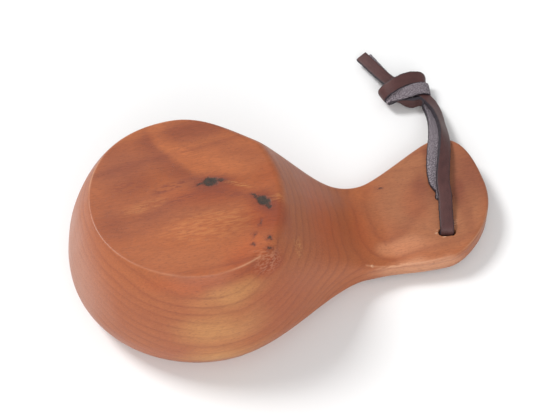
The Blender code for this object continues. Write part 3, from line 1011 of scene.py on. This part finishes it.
def streak_marks(graph, place, colour, settings):
    """Thin marks that the fibre breaks up: streaks, cracks, scratches, chips and pale lines."""
    dark = settings.dark_figure_and_shadow
    light = settings.light_wood
    yellow = settings.yellow_wood
    wear_and_highlight = settings.pale_wear_and_highlight
    scratch = settings.scratch_wood
    fibre = graph.grain(place, (0.3, 1.9, 1.9), 5.0, 3.4)
    for centre, size, turn, tint, strength in (
        ((-18, 0.8, 46), (9, 1.2, 4), -28, yellow, 0.42),
        ((-5.5, -8.5, 46), (4.5, 2.6, 4), -14, yellow, 0.3),
        ((-50, -1.5, 46), (12, 3, 4), 8, yellow, 0.2),
        ((-30, 17, 46), (12, 2, 4), -35, light, 0.5),
        ((-40, 4.6, 46), (11, 2.4, 4), 12, dark, 0.8),
        ((-37, -1.0, 46), (10, 1.8, 4), 10, dark, 0.7),
        ((-20, -3.0, 46), (9, 2.2, 4), -24, dark, 0.6),
        ((-54, 8.0, 46), (10, 5, 4), 0, dark, 0.5),
        ((-30, -14, 46), (22, 9, 4), 0, yellow, 0.18),
        ((-14, -31.0, 43), (11, 7, 5), -35, scratch, 0.2),
        ((-2, -23.5, 36), (2.5, 5, 6), 0, yellow, 0.4),
        ((26.7, -21.7, 11.4), (0.9, 0.6, 2), 0, scratch, 1.0),
        ((35, -22.3, 9), (9, 0.8, 2), 0, wear_and_highlight, 0.8),
        ((61, -10.5, 10.2), (4, 2.0, 2), 30, wear_and_highlight, 0.6),
        ((54.2, -12.4, 10.8), (1.6, 0.8, 2), 50, scratch, 1.0),
        ((61.8, -10.4, 10.8), (0.8, 1.2, 2), 10, scratch, 0.7),
        ((56.6, -15.0, 10.8), (1.4, 0.6, 2), 0, scratch, 0.8),
    ):
        mask = graph.patch(place, centre, size, turn, 0.3)
        share = graph.times(graph.times(mask, strength), graph.remap(fibre, 0.35, 0.75))
        colour = graph.over(colour, tint, share)
    return colour, fibre


def wood_finish(settings):
    """Oiled wood: growth rings, mottle, figure, knots, fibre, pores, and pale crease lines that are partly
    wear and partly painted highlight.
    """
    made, graph, shader = fresh_material("oiled_wood_figured")
    source = graph.add("ShaderNodeTexCoord").outputs["Object"]
    position = graph.add("ShaderNodeMapping", {"Vector": source, "Scale": (1000, 1000, 1000)}).outputs[0]
    place = ragged_place(graph, position, 0.05, 9.0, 1.5)
    colour, ring, mottle = figured_wood(graph, position, place, settings)
    colour = heart_boundary(graph, place, colour, settings)
    colour, fibre = streak_marks(graph, position, colour, settings)
    colour, cores = knot_marks(graph, position, colour, settings)
    fine = graph.grain(position, (0.9, 2.6, 2.6), 4.0, 2.2)
    pores = graph.remap(fine, 0.3, 0.12)
    woven = graph.maths("MULTIPLY_ADD", fine, 0.55, graph.times(fibre, 0.45))
    shade = graph.remap(woven, 0.2, 0.8, 0.42, 0.57, "LINEAR")
    grey = graph.add("ShaderNodeCombineColor", {"Red": shade, "Green": shade, "Blue": shade}).outputs[0]
    colour = graph.over(colour, grey, 0.6, "OVERLAY")
    colour = graph.over(colour, settings.dark_figure_and_shadow, graph.times(pores, 0.25))
    # Pale line along the creases: partly wear, partly painted highlight
    wear_and_highlight = graph.add("ShaderNodeAttribute", attribute_name="wear_and_highlight").outputs["Fac"]
    wear_and_highlight_edge = graph.times(wear_and_highlight, graph.remap(mottle, 0.3, 0.75, 0.1, 0.6))
    colour = graph.over(colour, settings.pale_wear_and_highlight, wear_and_highlight_edge)
    graph.feed(shader.inputs["Base Color"], colour)
    matt = graph.remap(mottle, 0.0, 1.0, 0.36, 0.48)
    graph.feed(shader.inputs["Roughness"], graph.maths("MULTIPLY_ADD", cores, 0.25, matt))
    shader.inputs["IOR"].default_value = 1.45
    sunk = graph.less(graph.times(ring, 0.15), graph.times(cores, 2.5))
    low = bump(graph, sunk, 0.00012, 0.6)
    texture = graph.less(fibre, graph.times(pores, 0.8))
    graph.feed(shader.inputs["Normal"], bump(graph, texture, 0.00004, 0.6, low))
    return made


def leather_finish(settings):
    """Leather: pebbled brown on the grain side, napped grey on the flesh side, dark cut edges."""
    made, graph, shader = fresh_material("brown_leather_lace")
    parts = {part: graph.add("ShaderNodeAttribute", attribute_name=f"lace_{part}").outputs["Fac"]
             for part in ("run", "across", "grain")}
    place = graph.add("ShaderNodeCombineXYZ", {"X": parts["run"], "Y": parts["across"],
                                               "Z": parts["grain"]}).outputs[0]
    nap = graph.grain(place, (2.1, 2.7, 1.0), 6.0, 3.6)
    cloud = graph.grain(place, (0.25, 0.5, 1.0), 2.0, 2.0)
    pebble = graph.add("ShaderNodeTexVoronoi", {"Vector": place, "Scale": 2.4}, feature="SMOOTH_F1")
    smooth_side = graph.over(settings.grain_colour, settings.grain_dark,
                             graph.maths("MULTIPLY_ADD", cloud, 0.6, graph.times(nap, 0.2)))
    suede = graph.over(settings.flesh_dark, settings.flesh_colour, nap)
    suede = graph.over(suede, settings.flesh_dark, graph.times(cloud, 0.3))
    is_grain = graph.remap(parts["grain"], -0.75, -0.45)
    colour = graph.over(suede, smooth_side, is_grain)
    off_face = graph.less(1.0, graph.maths("ABSOLUTE", parts["grain"]))
    rim = graph.maths("MAXIMUM", graph.remap(off_face, 0.04, 0.3),
                      graph.remap(graph.maths("ABSOLUTE", parts["across"]), 2.35, 2.6, 0.0, 0.6))
    colour = graph.over(colour, settings.edge_colour, rim)
    graph.feed(shader.inputs["Base Color"], colour)
    graph.feed(shader.inputs["Roughness"], graph.remap(is_grain, 0.0, 1.0, 0.92, 0.5))
    shader.inputs["Specular IOR Level"].default_value = 0.3
    pebble_height = graph.times(pebble.outputs["Distance"], is_grain)
    nap_height = graph.times(nap, graph.remap(is_grain, 0.0, 1.0, 1.6, 0.35))
    height = graph.maths("ADD", pebble_height, nap_height)
    graph.feed(shader.inputs["Normal"], bump(graph, height, 0.00012, 0.7))
    return made


def floor_finish(settings):
    made, graph, shader = fresh_material("pale_floor")
    shader.inputs["Base Color"].default_value = settings.floor_colour
    shader.inputs["Roughness"].default_value = 0.9
    from_below = graph.add("ShaderNodeNewGeometry").outputs["Backfacing"]
    clear = graph.add("ShaderNodeBsdfTransparent").outputs[0]
    one_sided = graph.add("ShaderNodeMixShader", {0: from_below, 1: shader.outputs[0], 2: clear})
    output = made.node_tree.nodes["Material Output"]
    graph.feed(output.inputs["Surface"], one_sided.outputs[0])
    return made


# ---------------- operators


class KUKSA_OT_stage(bpy.types.Operator):
    """Make the pale floor, the soft lights and the camera"""

    bl_idname = "kuksa.stage"
    bl_label = "Make the stage"

    def execute(self, context):
        settings = context.scene.kuksa_stage
        self.floor(settings)
        self.lights(context, settings)
        self.camera(context, settings)
        return {"FINISHED"}

    def floor(self, settings):
        reach = 6.0
        mesh = bpy.data.meshes.new("floor")
        corners = [(-reach, -reach, 0), (reach, -reach, 0), (reach, reach, 0), (-reach, reach, 0)]
        mesh.from_pydata(corners, [], [(0, 1, 2, 3)])
        mesh.materials.append(floor_finish(settings))
        floor = bpy.data.objects.new("floor", mesh)
        bpy.context.scene.collection.objects.link(floor)

    def lights(self, context, settings):
        world = bpy.data.worlds.new("soft_sky")
        world.use_nodes = True
        sky = world.node_tree.nodes["Background"]
        sky.inputs["Color"].default_value = (1, 1, 1, 1)
        sky.inputs["Strength"].default_value = settings.sky_strength
        context.scene.world = world
        target = Vector((0, 0, 0.02))
        for name, place, size, power in (
            ("key_light", (-0.80, 0.72, 1.32), 0.50, settings.key_power),
            ("fill_light", (-0.20, -1.24, 0.80), 1.20, settings.fill_power),
        ):
            data = bpy.data.lights.new(name, "AREA")
            data.size = size
            data.energy = power
            lamp = bpy.data.objects.new(name, data)
            lamp.location = place
            lamp.rotation_euler = (target - lamp.location).to_track_quat("-Z", "Y").to_euler()
            context.scene.collection.objects.link(lamp)

    def camera(self, context, settings):
        azimuth = math.radians(-14)
        elevation = math.radians(54)
        back = Vector((math.sin(azimuth) * math.cos(elevation),
                       -math.cos(azimuth) * math.cos(elevation), math.sin(elevation)))
        data = bpy.data.cameras.new("camera")
        data.sensor_width = 36
        data.lens = settings.lens
        data.clip_start = 0.01
        data.clip_end = 50
        camera = bpy.data.objects.new("camera", data)
        camera.location = Vector((-0.00185, 0.00545, 0.020)) + back * 0.450
        camera.rotation_euler = back.to_track_quat("Z", "Y").to_euler()
        context.scene.collection.objects.link(camera)
        context.scene.camera = camera


class KUKSA_OT_lace(bpy.types.Operator):
    """Make the leather lace: both strands with their knot and tails, and the run under the handle"""

    bl_idname = "kuksa.lace"
    bl_label = "Make the lace"

    def execute(self, context):
        settings = context.scene.kuksa_lace
        make_effects()
        finish = leather_finish(settings)
        for name, route, mouth, nodes in (
            ("lace_near", near_route(), slot_point(0, 10.2), ("thong_strand_near", "thong_tail_b")),
            ("lace_far", far_route(), slot_point(SLOT_SPACING / MM, 10.4),
             ("thong_strand_far", "thong_knot", "thong_tail_a")),
        ):
            lace, path = strap(name, route, settings.width, settings.thickness, settings.edge_rag)
            finished(lace, finish, 55)
            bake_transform(lace)
            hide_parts(*nodes)
        under, _ = strap("lace_under", under_route(), settings.width, settings.thickness,
                         settings.edge_rag)
        finished(under, finish, 55)
        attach(under, "cup")
        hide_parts("thong_bight")
        return {"FINISHED"}


class KUKSA_OT_cup(bpy.types.Operator):
    """Make the carved cup with its hollow and the two lace slots"""

    bl_idname = "kuksa.cup"
    bl_label = "Make the cup"

    def execute(self, context):
        settings = context.scene.kuksa_cup
        make_effects()
        cup = cup_body(settings)
        finished(cup, wood_finish(settings), 38)
        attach(cup, "cup")
        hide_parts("cup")
        return {"FINISHED"}


class KUKSA_PT_panel(bpy.types.Panel):
    """Buttons and settings for the kuksa"""

    bl_idname = "KUKSA_PT_panel"
    bl_label = "Kuksa"
    bl_space_type = "VIEW_3D"
    bl_region_type = "UI"
    bl_category = "Kuksa"

    def draw(self, context):
        for operator, settings in (
            (KUKSA_OT_stage, context.scene.kuksa_stage),
            (KUKSA_OT_lace, context.scene.kuksa_lace),
            (KUKSA_OT_cup, context.scene.kuksa_cup),
        ):
            box = self.layout.box()
            box.operator(operator.bl_idname)
            for name in settings.__annotations__:
                box.prop(settings, name)


def make_effects():
    """Builds the shared node groups, unless they are there already."""
    if "Growth rings" not in bpy.data.node_groups:
        grain_effect()
        patch_effect()
        ring_effect()


CLASSES = (KuksaCupSettings, KuksaLaceSettings, KuksaStageSettings,
           KUKSA_OT_stage, KUKSA_OT_lace, KUKSA_OT_cup, KUKSA_PT_panel)


def register():
    for each in CLASSES:
        bpy.utils.register_class(each)
    bpy.types.Scene.kuksa_cup = PointerProperty(type=KuksaCupSettings)
    bpy.types.Scene.kuksa_lace = PointerProperty(type=KuksaLaceSettings)
    bpy.types.Scene.kuksa_stage = PointerProperty(type=KuksaStageSettings)


def unregister():
    del bpy.types.Scene.kuksa_stage
    del bpy.types.Scene.kuksa_lace
    del bpy.types.Scene.kuksa_cup
    for each in reversed(CLASSES):
        bpy.utils.unregister_class(each)


def main():
    register()
    bpy.context.scene.view_settings.view_transform = "Standard"
    bpy.ops.kuksa.stage()
    bpy.ops.kuksa.lace()
    bpy.ops.kuksa.cup()
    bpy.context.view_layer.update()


if __name__ == "__main__":
    main()
